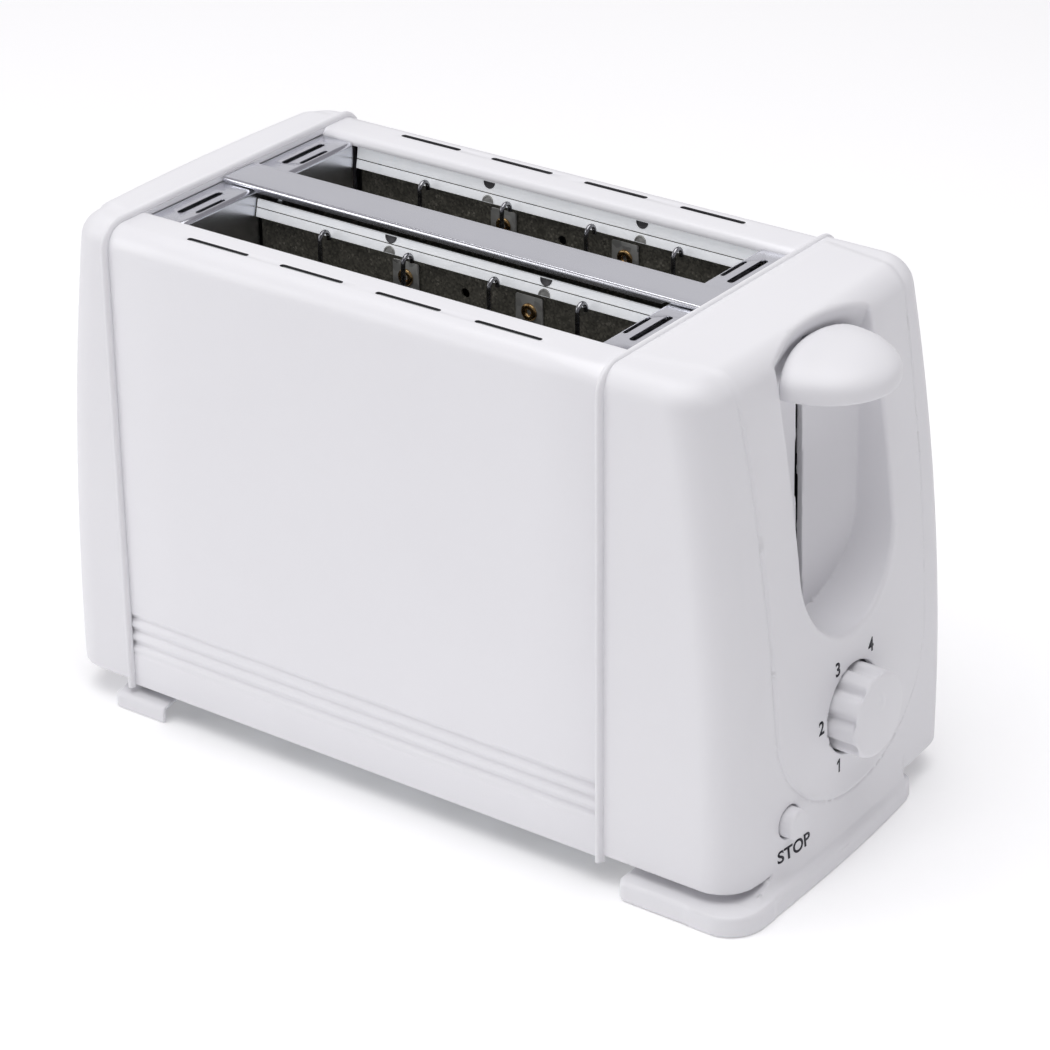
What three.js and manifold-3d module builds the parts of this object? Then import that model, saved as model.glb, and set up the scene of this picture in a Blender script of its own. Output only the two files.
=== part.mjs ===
// Two-slice pop-up toaster: painted steel wrap between two moulded end caps, on moulded feet.
// Millimetres, +Z up, +X towards the lever end, -Y the long front side.
// All shapes are drawn about the middle of the bread chamber and moved by CHAMBER_X,
// so that the origin is the bottom centre of the whole toaster.
import * as THREE from 'three';
import { mergeVertices } from 'three/addons/utils/BufferGeometryUtils.js';
import Module from 'manifold-3d';

const wasm = await Module();
wasm.setup();

// ---------------------------------------------------------------- driving dimensions
const CHAMBER_X = -13.65;
const TOP = 172;
const SHELL_BOTTOM = 9.2;
const HALF_WIDTH = 63.5;
const SHELL_R = 7.5;
const SHEET = 1;
const SEAM_X = 93.1;
const SHELL_END = 94.2;
const CAP_OPEN = 94.5;
const BEAD_W = 3;
const BEAD_H = 2.3;
const GAP = 0.3;

const OPENING_Y = 43.7;
const OPENING_X = 93;
const LIP_R = 3;
const LIP_BOTTOM = 168.9;
const VENT_LENGTH = 24.2;
const VENT_WIDTH = 1.8;
const VENT_PITCH = 37.05;
const VENT_Y = 54.4;
const REED_TOP = 34.3;
const REED_PITCH = 4.75;
const REED_DEPTH = 0.9;

const CAP_BOTTOM = 10.1;
const CAP_WALL = 2.4;
const CAP_TOP = TOP + 1.2;
const CAP_END_R = 8.5;
const CAP_SIDE_R = 7;
const CAP_CORNER_R = 12;
const CAP_BULGE = 1.6;
// Each end face leans back as it rises: reach at the bottom, then a parabola of this strength.
const LEVER_END = { reach: 144.2, curve: 0.00069 };
const PLAIN_END = { reach: 122.9, curve: 0.00051 };

const RECESS_W = 26.2;
const RECESS_BACK = 121.8;
const RECESS_LEAN = 0.0286;
const RECESS_SAG = 5.4;
const RECESS_LOW = 75.2;
const RECESS_FLARE = 2;
const LEVER_Y = 0.8;
const RECESS_MID = 103;
const KNOB_Z = 49.2;
const KNOB_HOLE_R = 14.9;
const KNOB_FACE = 155.2;
const STOP_Y = -34.8;
const STOP_Z = 25.3;
const STOP_HOLE_R = 5.5;

const FOOT_H = 6.8;
const SLOT_Y = 26.1;
const FRAME_X = 80;
const FRAME_TOP = 170.2;
const BOARD_IN = 5.2;
const BOARD_OUT = 46.9;
const WIRE_IN = 13.3;
const WIRE_D = 1.5;
const WIRE_X0 = 1.3;
const WIRE_PITCH = 33.3;

const TRAVEL = 64;
const REST_TOP = 100;
const ARMATURE_Z = 86.6;
const MAGNET_TOP = ARMATURE_Z - TRAVEL - 0.4;

// ---------------------------------------------------------------- materials
const FINISH = {
  white: ['#f1f0f2', 0.42, 0],
  paint: ['#f3f2f5', 0.3, 0],
  chrome: ['#cfd4da', 0.14, 1],
  zinc: ['#c9cdd0', 0.3, 0.9],
  steel: ['#9aa0a5', 0.35, 0.9],
  mica: ['#4a483c', 0.8, 0],
  nichrome: ['#6f6a63', 0.4, 0.8],
  brass: ['#a57c34', 0.3, 1],
  copper: ['#a4552b', 0.35, 0.8],
  board: ['#2f5a38', 0.6, 0],
  black: ['#26272a', 0.6, 0],
};

// ---------------------------------------------------------------- solids
const toSolid = (geometry) => {
  const g = geometry.clone();
  g.deleteAttribute('normal');
  g.deleteAttribute('uv');
  const merged = mergeVertices(g, 1e-4);
  return new wasm.Manifold(new wasm.Mesh({
    numProp: 3,
    vertProperties: new Float32Array(merged.attributes.position.array),
    triVerts: new Uint32Array(merged.index.array),
  }));
};

const toGeometry = (solid) => {
  const mesh = solid.getMesh();
  const g = new THREE.BufferGeometry();
  g.setAttribute('position', new THREE.Float32BufferAttribute(mesh.vertProperties, 3));
  g.setIndex(new THREE.Uint32BufferAttribute(mesh.triVerts, 1));
  return g;
};

const box = (x0, x1, y0, y1, z0, z1) => toSolid(
  new THREE.BoxGeometry(x1 - x0, y1 - y0, z1 - z0)
    .translate((x0 + x1) / 2, (y0 + y1) / 2, (z0 + z1) / 2));

// A 2-D outline pushed along one axis: 'x' takes (y, z), 'y' takes (z, x), 'z' takes (x, y).
const prism = (axis, points, from, to) => {
  const shape = new THREE.Shape(points.map(([a, b]) => new THREE.Vector2(a, b)));
  const g = new THREE.ExtrudeGeometry(shape, { depth: to - from, bevelEnabled: false });
  g.translate(0, 0, from);
  const turn = new THREE.Matrix4();
  if (axis === 'x') turn.set(0, 0, 1, 0, 1, 0, 0, 0, 0, 1, 0, 0, 0, 0, 0, 1);
  if (axis === 'y') turn.set(0, 1, 0, 0, 0, 0, 1, 0, 1, 0, 0, 0, 0, 0, 0, 1);
  g.applyMatrix4(turn);
  return toSolid(g);
};

// Closed body of revolution from an (r, h) profile, turned so its axis is 'x' or 'z'.
const turned = (axis, profile, [x, y, z], segments = 24) => {
  const g = new THREE.LatheGeometry(profile.map(([r, h]) => new THREE.Vector2(r, h)), segments);
  if (axis === 'z') g.rotateX(Math.PI / 2);
  if (axis === 'x') g.rotateZ(-Math.PI / 2);
  return toSolid(g.translate(x, y, z));
};

const disc = (axis, r, h0, h1, at, segments) => turned(
  axis, [[0, h0], [r, h0], [r, h1], [0, h1]], at, segments);

// Skin through rings of equal point count, closed by its first and last rings.
const loft = (sections, flat) => {
  const outline = sections[0].map((p) => new THREE.Vector2(...flat(p)));
  const rings = THREE.ShapeUtils.area(outline) > 0 ? sections : sections.map((ring) => [...ring].reverse());
  const n = rings[0].length;
  const positions = rings.flat(2);
  const faces = [];
  for (let i = 0; i < rings.length - 1; i++) {
    for (let j = 0; j < n; j++) {
      const a = i * n + j;
      const b = i * n + (j + 1) % n;
      faces.push(a, b, b + n, a, b + n, a + n);
    }
  }
  const end = (ring) => THREE.ShapeUtils.triangulateShape(
    ring.map((p) => new THREE.Vector2(...flat(p))), []);
  const last = (rings.length - 1) * n;
  end(rings[0]).forEach(([a, b, c]) => faces.push(a, c, b));
  end(rings[rings.length - 1]).forEach(([a, b, c]) => faces.push(last + a, last + b, last + c));
  const g = new THREE.BufferGeometry();
  g.setAttribute('position', new THREE.Float32BufferAttribute(positions, 3));
  g.setIndex(faces);
  return toSolid(g);
};

const tube = (points, r, sides = 6) => {
  const path = new THREE.CurvePath();
  for (let i = 0; i < points.length - 1; i++) {
    path.add(new THREE.LineCurve3(new THREE.Vector3(...points[i]), new THREE.Vector3(...points[i + 1])));
  }
  const ring = Array.from({ length: sides }, (_, i) => {
    const a = 2 * Math.PI * i / sides;
    return new THREE.Vector2(r * Math.cos(a), r * Math.sin(a));
  });
  path.arcLengthDivisions = 400;
  return toSolid(new THREE.ExtrudeGeometry(new THREE.Shape(ring),
    { steps: points.length - 1, extrudePath: path, bevelEnabled: false }));
};

const arc = (cx, cy, r, from, to, n) => Array.from({ length: n + 1 }, (_, i) => {
  const a = (from + (to - from) * i / n) * Math.PI / 180;
  return [cx + r * Math.cos(a), cy + r * Math.sin(a)];
});

const mirrorY = (points) => points.map(([y, z]) => [-y, z]).reverse();
const range = (n) => Array.from({ length: n }, (_, i) => i);

const toaster = new THREE.Group();
const chamber = new THREE.Group();
chamber.position.x = CHAMBER_X;
toaster.add(chamber);

const add = (name, solid, finish) => {
  const [color, roughness, metalness] = FINISH[finish];
  const material = new THREE.MeshStandardMaterial({ color, roughness, metalness });
  const mesh = new THREE.Mesh(toGeometry(solid), material);
  mesh.name = name;
  chamber.add(mesh);
};

// ---------------------------------------------------------------- painted steel wrap
// Half of the wrap in (y, z) for y > 0, from the foot of the side panel up to the slot lip.
const wrapHalf = (inset) => {
  const y = HALF_WIDTH - inset;
  const reeds = range(3).flatMap((k) => {
    const low = REED_TOP - REED_PITCH * (3 - k);
    return range(5).map((i) => {
      const t = i / 5;
      return [y - REED_DEPTH * (1 - Math.sin(Math.PI * t)), low + REED_PITCH * t];
    });
  });
  return [
    [y, SHELL_BOTTOM],
    [y, REED_TOP - REED_PITCH * 3 - 0.8],
    ...reeds,
    [y - REED_DEPTH, REED_TOP],
    [y, REED_TOP + 0.8],
    ...arc(HALF_WIDTH - SHELL_R, TOP - SHELL_R, SHELL_R - inset, 0, 90, 6),
    ...arc(OPENING_Y + LIP_R, TOP - LIP_R, LIP_R - inset, 90, 180, 4),
    [OPENING_Y + inset, LIP_BOTTOM],
  ];
};

const bodyShell = () => {
  const profile = [...wrapHalf(0), ...wrapHalf(SHEET).reverse()];
  const rear = prism('x', profile, -SHELL_END, SHELL_END);
  const front = prism('x', mirrorY(profile), -SHELL_END, SHELL_END);
  let shell = rear.add(front);
  for (const side of [-1, 1]) {
    const [a, b] = [side * OPENING_X, side * SHELL_END].sort((p, q) => p - q);
    shell = shell.add(box(a, b, -OPENING_Y - 2.5, OPENING_Y + 2.5, TOP - 1.5, TOP));
  }
  for (const side of [-1, 1]) {
    for (const k of range(4)) {
      const x = (k - 1.5) * VENT_PITCH;
      shell = shell.subtract(box(x - VENT_LENGTH / 2, x + VENT_LENGTH / 2,
        side * VENT_Y - VENT_WIDTH / 2, side * VENT_Y + VENT_WIDTH / 2, TOP - 3, TOP + 3));
    }
  }
  return shell.subtract(box(-74, 74, 55, 70, 11, 17.6));
};

// ---------------------------------------------------------------- moulded end caps
const reachAt = ({ reach, curve }, z) => reach - curve * Math.max(0, z - 20) ** 2;

const capRing = (z, end, inset) => {
  const drop = (r) => {
    const up = Math.max(0, z - (CAP_TOP - inset - r));
    return r - Math.sqrt(Math.max(0, r * r - up * up));
  };
  const endX = reachAt(end, z) - inset - drop(CAP_END_R - inset);
  const w = HALF_WIDTH - inset - drop(CAP_SIDE_R - inset);
  const r = Math.min(CAP_CORNER_R - inset, endX - CAP_OPEN - 1);
  const straight = w - r;
  const bulge = range(7).map((i) => {
    const y = straight * ((i + 1) / 4 - 1);
    return [endX + CAP_BULGE * (1 - (y / straight) ** 2), y];
  });
  const ring = [
    [CAP_OPEN, -w],
    ...arc(endX - r, -straight, r, -90, 0, 5),
    ...bulge,
    ...arc(endX - r, straight, r, 0, 90, 5),
    [CAP_OPEN, w],
  ];
  return ring.map(([x, y]) => [x, y, z]);
};

const capBlock = (end, inset, bottom) => {
  const r = CAP_END_R - inset;
  const rounding = range(7).map((k) => CAP_TOP - inset - r + r * Math.sin(k * Math.PI / 12));
  const levels = [bottom, 20, 45, 70, 95, 120, 140, ...rounding];
  return loft(levels.map((z) => capRing(z, end, inset)), ([x, y]) => [x, y]);
};

// The wrap's outer outline in (y, z), grown outwards by `grow`, open at the bottom.
const hoop = (grow, bottom) => {
  const corner = arc(HALF_WIDTH - SHELL_R, TOP - SHELL_R, SHELL_R + grow, 0, 90, 6);
  return [[HALF_WIDTH + grow, bottom], ...corner, ...mirrorY(corner), [-HALF_WIDTH - grow, bottom]];
};

const bead = () => {
  const rings = range(7).map((i) => {
    const a = Math.PI * i / 6;
    const x = SEAM_X + BEAD_W / 2 * (1 - Math.cos(a));
    const outer = hoop(BEAD_H * Math.sin(a) + 0.4, SHELL_BOTTOM - 1);
    const inner = hoop(-1.6, SHELL_BOTTOM - 1).reverse();
    return [...outer, ...inner].map(([y, z]) => [x, y, z]);
  });
  return loft(rings, ([, y, z]) => [y, z]);
};

const wrapClearance = () => prism('x', hoop(GAP, 0), 60, CAP_OPEN);

const emptyCap = (end) => ({
  outer: capBlock(end, 0, CAP_BOTTOM).add(bead()).subtract(wrapClearance()),
  cavity: capBlock(end, CAP_WALL, CAP_BOTTOM + CAP_WALL),
});

// Scoop for the lever: U-shaped in front view, with a shallow cylindrical back that flares at the top.
const recessBack = (y, z) => {
  const up = Math.min(1, Math.max(0, (z - 150) / 20));
  const flare = RECESS_FLARE * up * up * (3 - 2 * up);
  return RECESS_BACK + RECESS_LEAN * (152 - z) + RECESS_SAG * (y / RECESS_W) ** 2 + flare;
};

const recess = (grow) => {
  const scoop = (x, w, low) => [
    [x, LEVER_Y + w, TOP + 20],
    [x, LEVER_Y - w, TOP + 20],
    ...range(13).map((i) => {
      const a = Math.PI * (1 + i / 12);
      return [x, LEVER_Y + w * Math.cos(a), RECESS_MID + (RECESS_MID - low) * Math.sin(a)];
    }),
  ];
  const draft = loft([
    scoop(110, 23.1 + grow, RECESS_LOW - grow),
    scoop(175, 30.9 + grow, RECESS_LOW - grow),
  ], ([, y, z]) => [y, z]);
  const slice = (z) => {
    const back = range(9).map((i) => {
      const y = 34 * (1 - i / 4);
      return [recessBack(y, z) - grow, LEVER_Y + y, z];
    });
    return [[180, LEVER_Y - 34, z], [180, LEVER_Y + 34, z], ...back];
  };
  return draft.intersect(loft([60, 150, 156, 164, 170, TOP + 30].map(slice), ([x, y]) => [x, y]));
};

// Outer edge of the lever-end foot at a given y, and the skirt that runs down to it.
const footEdge = (y) => 149.2 - 0.0009 * Math.max(0, Math.abs(y + 30) - 6) ** 2;

const skirt = () => {
  const rings = range(9).map((i) => {
    const y = -43 + 8.5 * i;
    const edge = footEdge(y) - 0.2;
    const face = LEVER_END.reach + CAP_BULGE * (1 - (y / 51.5) ** 2) - 0.5;
    const sweep = range(5).map((k) => {
      const t = k / 4;
      return [edge + (face - edge) * Math.sin(t * Math.PI / 2), 5 + 21 * (1 - Math.cos(t * Math.PI / 2))];
    });
    return [[132, 0.4], [edge, 0.4], ...sweep, [132, 26]].map(([x, z]) => [x, y, z]);
  });
  return loft(rings, ([x, , z]) => [z, x]);
};

const leverFoot = () => {
  const edge = range(11).map((i) => {
    const y = -58 + 9 * i;
    return [footEdge(y), y];
  });
  const outline = [
    ...arc(106, -65, 3, 180, 270, 3),
    ...arc(136.5, -56.5, 11.5, -90, -15, 5),
    ...edge,
    ...arc(140.6, 34, 4, 0, 90, 3),
    [130, 38],
    [130, -50],
    [103, -50],
  ];
  const plate = prism('z', outline, 0, FOOT_H);
  const neckFront = box(112, 136, -56, -51, FOOT_H - 1, CAP_BOTTOM + 1);
  const neckEnd = box(131, 140, -52, 34, FOOT_H - 1, CAP_BOTTOM + 1);
  return plate.add(neckFront).add(neckEnd);
};

const leverEndCap = () => {
  const { outer, cavity } = emptyCap(LEVER_END);
  return outer
    .add(skirt())
    .add(leverFoot())
    .subtract(cavity.subtract(recess(2.2)))
    .subtract(recess(0))
    .subtract(box(112, 130, LEVER_Y - 1.8, LEVER_Y + 1.8, 79.5, 167.2))
    .subtract(disc('x', KNOB_HOLE_R, 134, 152, [0, 0, KNOB_Z], 36))
    .subtract(disc('x', STOP_HOLE_R, 134, 152, [0, STOP_Y, STOP_Z], 20));
};

const plainEndCap = () => {
  const { outer, cavity } = emptyCap(PLAIN_END);
  const cap = outer.subtract(cavity).subtract(disc('x', 5.4, 110, 135, [0, 38, 26], 20));
  return cap.mirror([1, 0, 0]);
};

// ---------------------------------------------------------------- controls
const leverKnob = () => {
  const ring = ([z, k]) => {
    const front = range(19).map((i) => {
      const a = Math.PI * (i / 18 - 0.5);
      return [128.3 + 25.3 * k * Math.cos(a), LEVER_Y + 23.4 * k * Math.sin(a)];
    });
    const back = range(5).map((i) => {
      const y = 23.4 * k * (0.75 - 0.375 * i);
      return [recessBack(y, 92) + 1.1, LEVER_Y + y];
    });
    return [...front, ...back].map(([x, y]) => [x, y, z]);
  };
  const body = loft([
    [156, 0.9], [157.2, 0.96], [159, 1], [161, 0.977], [163, 0.905], [165, 0.77], [166.8, 0.558], [168, 0.29],
    [168.3, 0.15],
  ].map(ring), ([x, y]) => [x, y]);
  return body.subtract(box(118, 135.3, LEVER_Y - 1.4, LEVER_Y + 1.4, 157.9, 165.6));
};

const browningKnob = () => {
  const flutes = range(9).map((i) => {
    const a = (10 + 40 * i) * Math.PI / 180;
    return disc('x', 2.4, -2, 8.6, [KNOB_FACE - 10, 15.3 * Math.cos(a), KNOB_Z + 15.3 * Math.sin(a)], 10);
  });
  const body = turned('x', [[0, -15], [14, -15], [14.1, -2], [13.4, -0.6], [12, 0], [0, 0]],
    [KNOB_FACE, 0, KNOB_Z], 48);
  const bore = disc('x', 3.3, -16, -5, [KNOB_FACE, 0, KNOB_Z], 16);
  return flutes.reduce((s, f) => s.subtract(f), body).subtract(bore)
    .add(box(KNOB_FACE - 1, KNOB_FACE + 0.5, -0.6, 0.6, KNOB_Z + 2.2, KNOB_Z + 7));
};

const stopButton = () => turned('x', [
  [0, -18.4], [2, -18.4], [2, -4.2], [6.8, -4.2], [6.8, -2.8], [4.9, -2.8], [4.9, 2.8], [4.2, 3.5], [0, 3.9],
], [LEVER_END.reach + 0.4, STOP_Y, STOP_Z], 20);

// ---------------------------------------------------------------- chamber
const rounded = (x, y0, y1, half, z0, z1) => box(x - half, x + half, y0 + half, y1 - half, z0, z1)
  .add(disc('z', half, z0, z1, [x, y0 + half, 0], 10))
  .add(disc('z', half, z0, z1, [x, y1 - half, 0], 10));

const endFrame = (side) => {
  const profile = [
    [13, FRAME_X], [FRAME_TOP - 1.2, FRAME_X], [FRAME_TOP, FRAME_X + 1.2], [FRAME_TOP, OPENING_X - 0.4],
    [FRAME_TOP - 0.9, OPENING_X - 0.4], [FRAME_TOP - 0.9, FRAME_X + 1.3], [13, FRAME_X + 1.3],
  ];
  let frame = prism('y', profile, -OPENING_Y + 0.5, OPENING_Y - 0.5);
  const shift = side > 0 ? -0.6 : 3.5;
  for (const y of [-SLOT_Y, SLOT_Y]) {
    frame = frame
      .subtract(rounded(86.9, y - 10.5, y + 10.5, 1.2, 160, 175))
      .subtract(rounded(side > 0 ? 82.2 : 83.4, y + shift - 6.7, y + shift + 6.7, 0.8, 160, 175));
    if (side > 0) {
      frame = frame.subtract(box(78, 84, y - 1.9, y + 1.9, REST_TOP - TRAVEL - 10, REST_TOP + 2));
    }
  }
  return side > 0 ? frame : frame.mirror([1, 0, 0]);
};

const centreBar = () => {
  const outer = [
    [-8.3, 169.4], ...arc(-6.6, 170.3, 1.7, 180, 90, 4), ...arc(6.6, 170.3, 1.7, 90, 0, 4), [8.3, 169.4],
  ];
  const inner = [[7.5, 169.4], [7.5, 170.2], [6.6, 171.1], [-6.6, 171.1], [-7.5, 170.2], [-7.5, 169.4]];
  const bar = prism('x', [...outer, ...inner].reverse(), -92.3, 92.3);
  return bar
    .subtract(box(FRAME_X - 1.5, 95, -10, 10, 160, 170.6))
    .subtract(box(-95, 1.5 - FRAME_X, -10, 10, 160, 170.6));
};

// One side of one bread slot: `y` is the board plane, `into` points into the slot.
const stripProfile = (y, into, top) => {
  const out = [[2.3, 161], [1.6, 164.2], [0.9, top]];
  const back = [[0.3, top], [0.9, 164.2], [1.6, 161]];
  const points = [...out, ...back].map(([d, z]) => [y + into * (d + 0.4), z]);
  return into > 0 ? points : points.reverse();
};

const micaBoard = (y) => {
  let board = box(-79, 79, y - 0.3, y + 0.3, 22, 166.4);
  for (const x of [-20, 3, 28]) {
    board = board.subtract(prism('y', arc(153.6, x, 1.7, 0, 315, 7), y - 2, y + 2));
  }
  return board;
};

// Flat resistance ribbon, wound to and fro across the face of its board.
const ribbon = (y, into) => {
  const [y0, y1] = into > 0 ? [y + 0.6, y + 1] : [y - 1, y - 0.6];
  const rowZ = (k) => 32 + 10.6 * k;
  const rows = range(11).map((k) => box(-68, 68, y0, y1, rowZ(k) - 0.9, rowZ(k) + 0.9));
  const turns = range(10).map((k) => {
    const x = k % 2 ? -68 : 66.2;
    return box(x, x + 1.8, y0, y1, rowZ(k), rowZ(k + 1));
  });
  return [...rows, ...turns].reduce((all, piece) => all.add(piece));
};

const wireGuard = (y, into) => {
  const r = WIRE_D / 2;
  const wireY = y + into * (WIRE_IN - BOARD_IN);
  const rootY = y + into * 3.9;
  const mid = (wireY + rootY) / 2;
  const span = Math.abs(wireY - rootY) / 2;
  let guard = null;
  for (const k of range(4)) {
    const x = WIRE_X0 + WIRE_PITCH * (k - 1.5);
    const hook = range(7).map((i) => {
      const a = Math.PI * i / 6;
      return [x, mid + (wireY - mid) * Math.cos(a), 161.5 + Math.min(span, 2.6) * Math.sin(a)];
    });
    const wire = tube([[x, wireY, 24.2], ...hook, [x, rootY, 159.9]], r, 6);
    guard = guard ? guard.add(wire) : wire;
  }
  const rail = box(-56, 60, wireY - r, wireY + r, 22.6, 24.6);
  return guard.add(rail);
};

const eyelet = (x, y, into) => {
  const profile = [
    [0.9, -0.9], [1.5, -0.9], [1.5, 0.6], [3, 0.6], [3, 1.1], [1.6, 1.5], [0.9, 1.1], [0.9, -0.9],
  ];
  const g = new THREE.LatheGeometry(profile.map(([r, h]) => new THREE.Vector2(r, h)), 14);
  if (into < 0) g.rotateX(Math.PI);
  return toSolid(g.translate(x, y, 153.6));
};

// ---------------------------------------------------------------- carriage
const breadRest = (y) => {
  const strip = box(-76, 76, y - 5, y + 5, REST_TOP - 2, REST_TOP);
  const web = box(-76, 83.2, y - 1, y + 1, REST_TOP - 8, REST_TOP - 1);
  return strip.add(web);
};

const carriageBracket = () => {
  let bracket = box(83.6, 85.2, -30, 30, 90, 104);
  bracket = bracket.add(prism('y', [
    [90, 84.4], [90, 98], [158.3, 98], [158.3, 134.6], [165.2, 134.6], [165.2, 90], [104, 90], [104, 84.4],
  ].reverse(), LEVER_Y - 1, LEVER_Y + 1));
  for (const y of [-14, 14]) {
    const tab = box(84.4, 93, y - 5, y + 5, 92, 102).subtract(disc('z', 2.9, 80, 120, [89, y, 0], 16));
    bracket = bracket.add(tab);
  }
  return bracket;
};

const spring = () => {
  const turns = 8;
  const points = range(turns * 8 + 1).map((i) => {
    const a = 2 * Math.PI * i / 8;
    return [89 + 3.2 * Math.cos(a), 24 + 3.2 * Math.sin(a), 106 + 5.2 * i / 8];
  });
  return tube(points, 0.55, 6);
};

// E-shaped iron on the base with a winding on its middle limb: holds the carriage down.
const magnetCore = () => box(94, 104, -10, 10, 12.8, MAGNET_TOP)
  .subtract(box(90, 110, -7, -3.2, 15, 40))
  .subtract(box(90, 110, 3.2, 7, 15, 40));

const magnetCoil = () => box(91.3, 106.7, -6.7, 6.7, 15.3, MAGNET_TOP - 0.8)
  .subtract(box(93.7, 104.3, -3.5, 3.5, 10, 40));

// ---------------------------------------------------------------- base
const basePlate = () => {
  let plate = box(-91, 91, -61.9, 61.9, 9.3, 10.5);
  for (const y of [-54, 54]) {
    for (const k of range(5)) plate = plate.subtract(box(-70 + 30 * k, -52 + 30 * k, y - 2, y + 2, 5, 15));
  }
  return plate;
};

const crumbTray = () => box(-72, 72, -50, 61.5, 11.2, 17)
  .subtract(box(-71, 71, -49, 60.4, 12.2, 20))
  .add(box(-73, 73, 64.4, 66.4, 11.2, 17.4))
  .add(box(-72, 72, 60.8, 65, 11.2, 12.4));

const plainFoot = (side) => {
  const foot = prism('x', [
    [48.2, 0], [66.2, 0], [66.2, 5.4], [57.4, 7.1], [50, 9], [48.2, 9],
  ], -101.2, -79.3);
  return side > 0 ? foot : foot.mirror([0, 1, 0]);
};

const leverPad = () => box(99, 121, 50, 68, 0, FOOT_H).add(box(101, 119, 51, 60, 6, CAP_BOTTOM - GAP));

// Bushing with its flange outside the end wall.
const cordGland = () => turned('x', [
  [3.2, 6], [3.2, -5.4], [5.6, -5.4], [7.5, -4], [7.5, -1], [5, -1], [5, 6], [3.2, 6],
], [-PLAIN_END.reach - 0.1, 38, 26], 20);

const screw = (x, y) => turned('z', [[0, 6.9], [2.6, 7.2], [3, 7.8], [3, 9], [0, 9]], [x, y, 0], 12);

// ---------------------------------------------------------------- assembly
add('body_shell', bodyShell(), 'paint');
add('lever_end_cap', leverEndCap(), 'white');
add('plain_end_cap', plainEndCap(), 'white');
add('lever_knob', leverKnob(), 'white');
add('browning_knob', browningKnob(), 'white');
add('stop_button', stopButton(), 'white');
add('lever_end_frame', endFrame(1), 'chrome');
add('plain_end_frame', endFrame(-1), 'chrome');
add('centre_bar', centreBar(), 'chrome');

const SIDES = [
  ['front_outer', -BOARD_OUT, 1, 168.6],
  ['front_inner', -BOARD_IN, -1, 166.7],
  ['rear_inner', BOARD_IN, 1, 166.7],
  ['rear_outer', BOARD_OUT, -1, 168.6],
];
for (const [name, y, into, top] of SIDES) {
  add(`${name}_strip`, prism('x', stripProfile(y, into, top), -79.4, 79.4), 'zinc');
  add(`${name}_mica_board`, micaBoard(y), 'mica');
  add(`${name}_heating_ribbon`, ribbon(y, into), 'nichrome');
  add(`${name}_wire_guard`, wireGuard(y, into), 'steel');
  add(`${name}_eyelet_a`, eyelet(-20, y, into), 'brass');
  add(`${name}_eyelet_b`, eyelet(28, y, into), 'brass');
}

add('front_bread_rest', breadRest(-SLOT_Y), 'steel');
add('rear_bread_rest', breadRest(SLOT_Y), 'steel');
add('carriage_bracket', carriageBracket(), 'zinc');
add('armature_plate', box(89, 106, -10.5, 10.5, ARMATURE_Z, ARMATURE_Z + 3), 'steel');
add('front_guide_rod', disc('z', 2.5, 13, 156, [89, -14, 0], 16), 'steel');
add('rear_guide_rod', disc('z', 2.5, 13, 156, [89, 14, 0], 16), 'steel');
add('lift_spring', spring(), 'steel');
add('magnet_core', magnetCore(), 'steel');
add('magnet_coil', magnetCoil(), 'copper');
add('circuit_board', box(117, 118.6, -46, 46, 14, 70), 'board');
add('browning_control', box(119, 127, -8, 8, KNOB_Z - 9, KNOB_Z + 9), 'black');
add('browning_shaft', disc('x', 3, 0, 22.3, [127.4, 0, KNOB_Z], 16), 'steel');
add('stop_switch', box(119, 122.6, STOP_Y - 5, STOP_Y + 5, STOP_Z - 5, STOP_Z + 5), 'black');
add('mains_switch', box(98, 112, 14, 34, 13, 30), 'black');
add('terminal_block', box(-112, -98, 10, 30, 13, 28), 'black');
add('cord_gland', cordGland(), 'black');
add('base_plate', basePlate(), 'zinc');
add('crumb_tray', crumbTray(), 'zinc');
add('front_plain_foot', plainFoot(-1), 'white');
add('rear_plain_foot', plainFoot(1), 'white');
add('rear_lever_foot', leverPad(), 'white');
add('base_screw_a', screw(-60, -40), 'steel');
add('base_screw_b', screw(60, -40), 'steel');
add('base_screw_c', screw(-60, 40), 'steel');
add('base_screw_d', screw(60, 40), 'steel');

export default toaster;
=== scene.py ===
"""Two-slice pop-up toaster: white painted steel wrap between two satin white moulded end caps.

Lengths inside this script are millimetres with X measured from the middle of the bread chamber;
metres() turns them into metres in the row frame.
"""

import math

import bmesh
import bpy
import numpy as np
from mathutils import Matrix, Vector


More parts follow.
